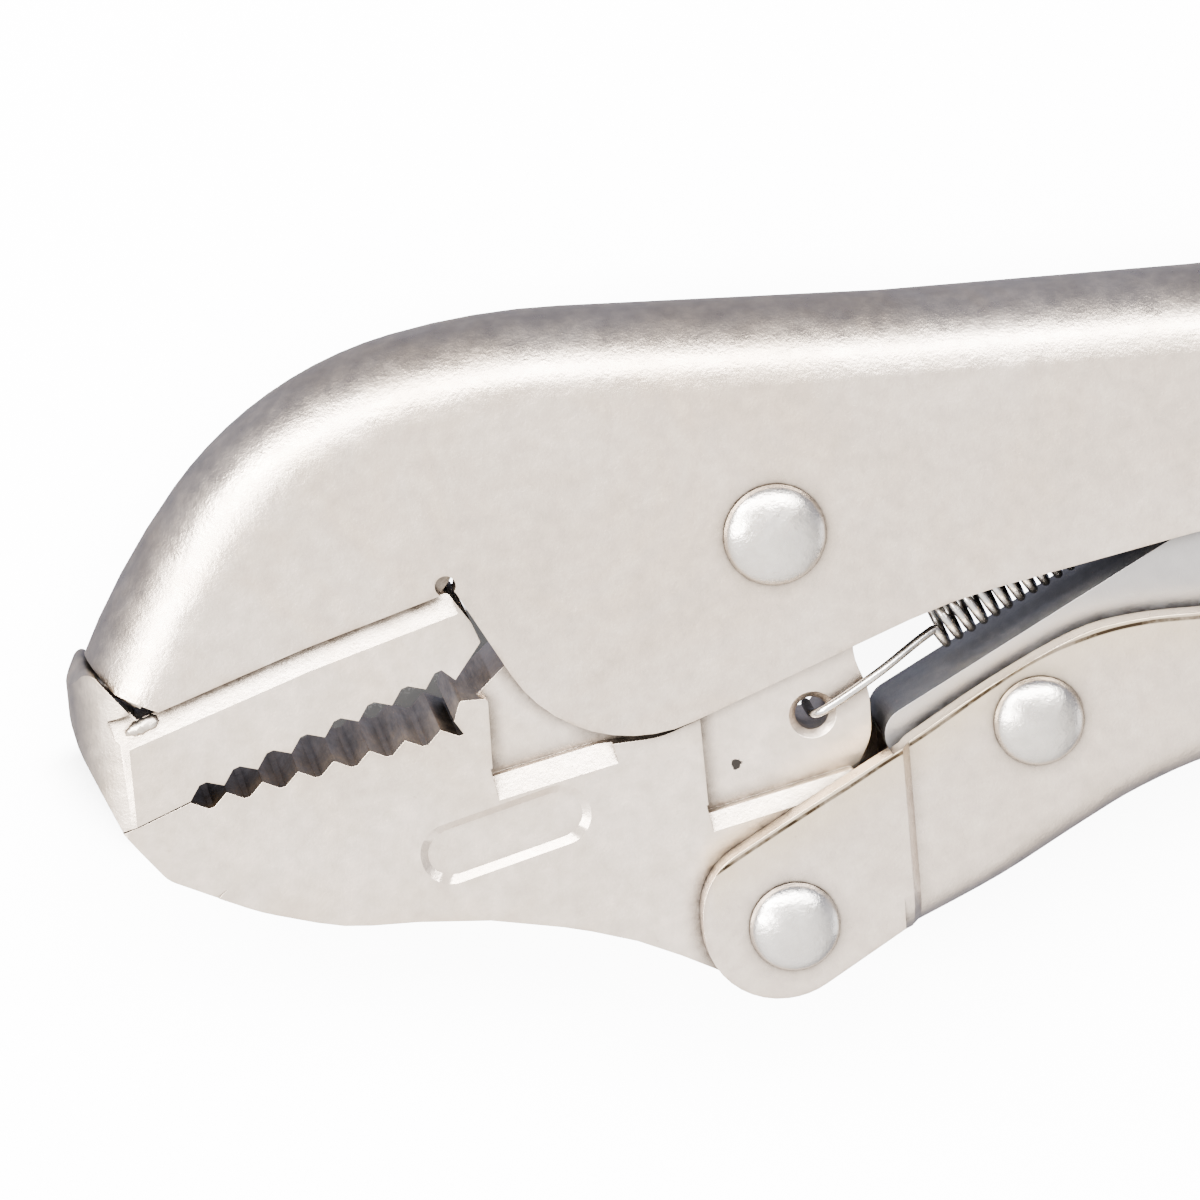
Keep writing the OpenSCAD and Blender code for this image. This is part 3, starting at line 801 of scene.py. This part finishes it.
def world():
    w = bpy.data.worlds.new("studio")
    bpy.context.scene.world = w
    w.use_nodes = True
    t = w.node_tree
    back = t.nodes["Background"]
    coord = t.nodes.new("ShaderNodeTexCoord")
    dot = t.nodes.new("ShaderNodeVectorMath")
    dot.operation = "DOT_PRODUCT"
    dot.inputs[1].default_value = Vector(SKY_AXIS).normalized() / 2
    half = t.nodes.new("ShaderNodeMath")
    half.inputs[1].default_value = 0.5
    ramp = t.nodes.new("ShaderNodeValToRGB")
    t.links.new(coord.outputs["Generated"], dot.inputs[0])
    t.links.new(dot.outputs["Value"], half.inputs[0])
    t.links.new(half.outputs[0], ramp.inputs[0])
    t.links.new(ramp.outputs[0], back.inputs[0])
    e = ramp.color_ramp.elements
    for k, (place, colour) in enumerate(SKY):
        stop = e[k] if k < 2 else e.new(place)
        stop.position = place
        stop.color = (*colour, 1)
    back.inputs[1].default_value = SKY_STRENGTH


studio_floor()
world()
# Name, place, size, and power in watts
area_light("strip", (0.05, 0.78, 0.97), (1.5, 0.5), 70)
area_light("corner", (-0.84, 0.7, 0.7), (0.5, 0.5), 34)
area_light("left", (-0.9, 0.1, 0.85), (0.32, 0.7), 28)
area_light("side", (1.1, -0.35, 0.1), (0.6, 0.6), 3)


# ---- Camera ----

ELEVATION, AZIMUTH, ROLL = 15.0, 8.0, 5.0
DISTANCE = 900.0
PIXELS_PER_MM = 10.6
FRAME_PIXELS = 1200
SENSOR = 36.0
AIM = (-16.77, -5.03, 5.0)


def camera():
    e, a, r = (math.radians(v) for v in (ELEVATION, AZIMUTH, ROLL))
    back = Vector((-math.sin(a) * math.cos(e), math.sin(e), math.cos(a) * math.cos(e)))
    right = Vector((0, 1, 0)).cross(back).normalized()
    up = back.cross(right)
    turn = Matrix.Rotation(r, 3, "Z").transposed()
    data = bpy.data.cameras.new("camera")
    data.sensor_width = SENSOR
    data.lens = SENSOR * DISTANCE * PIXELS_PER_MM / FRAME_PIXELS
    data.clip_start, data.clip_end = 0.05, 20
    obj = bpy.data.objects.new("camera", data)
    back, right, up = (turn @ v for v in (back, right, up))
    m = Matrix((right, up, back)).transposed().to_4x4()
    m.translation = at(*AIM) + back * DISTANCE * MM
    obj.matrix_world = m
    bpy.context.scene.collection.objects.link(obj)
    bpy.context.scene.camera = obj


camera()
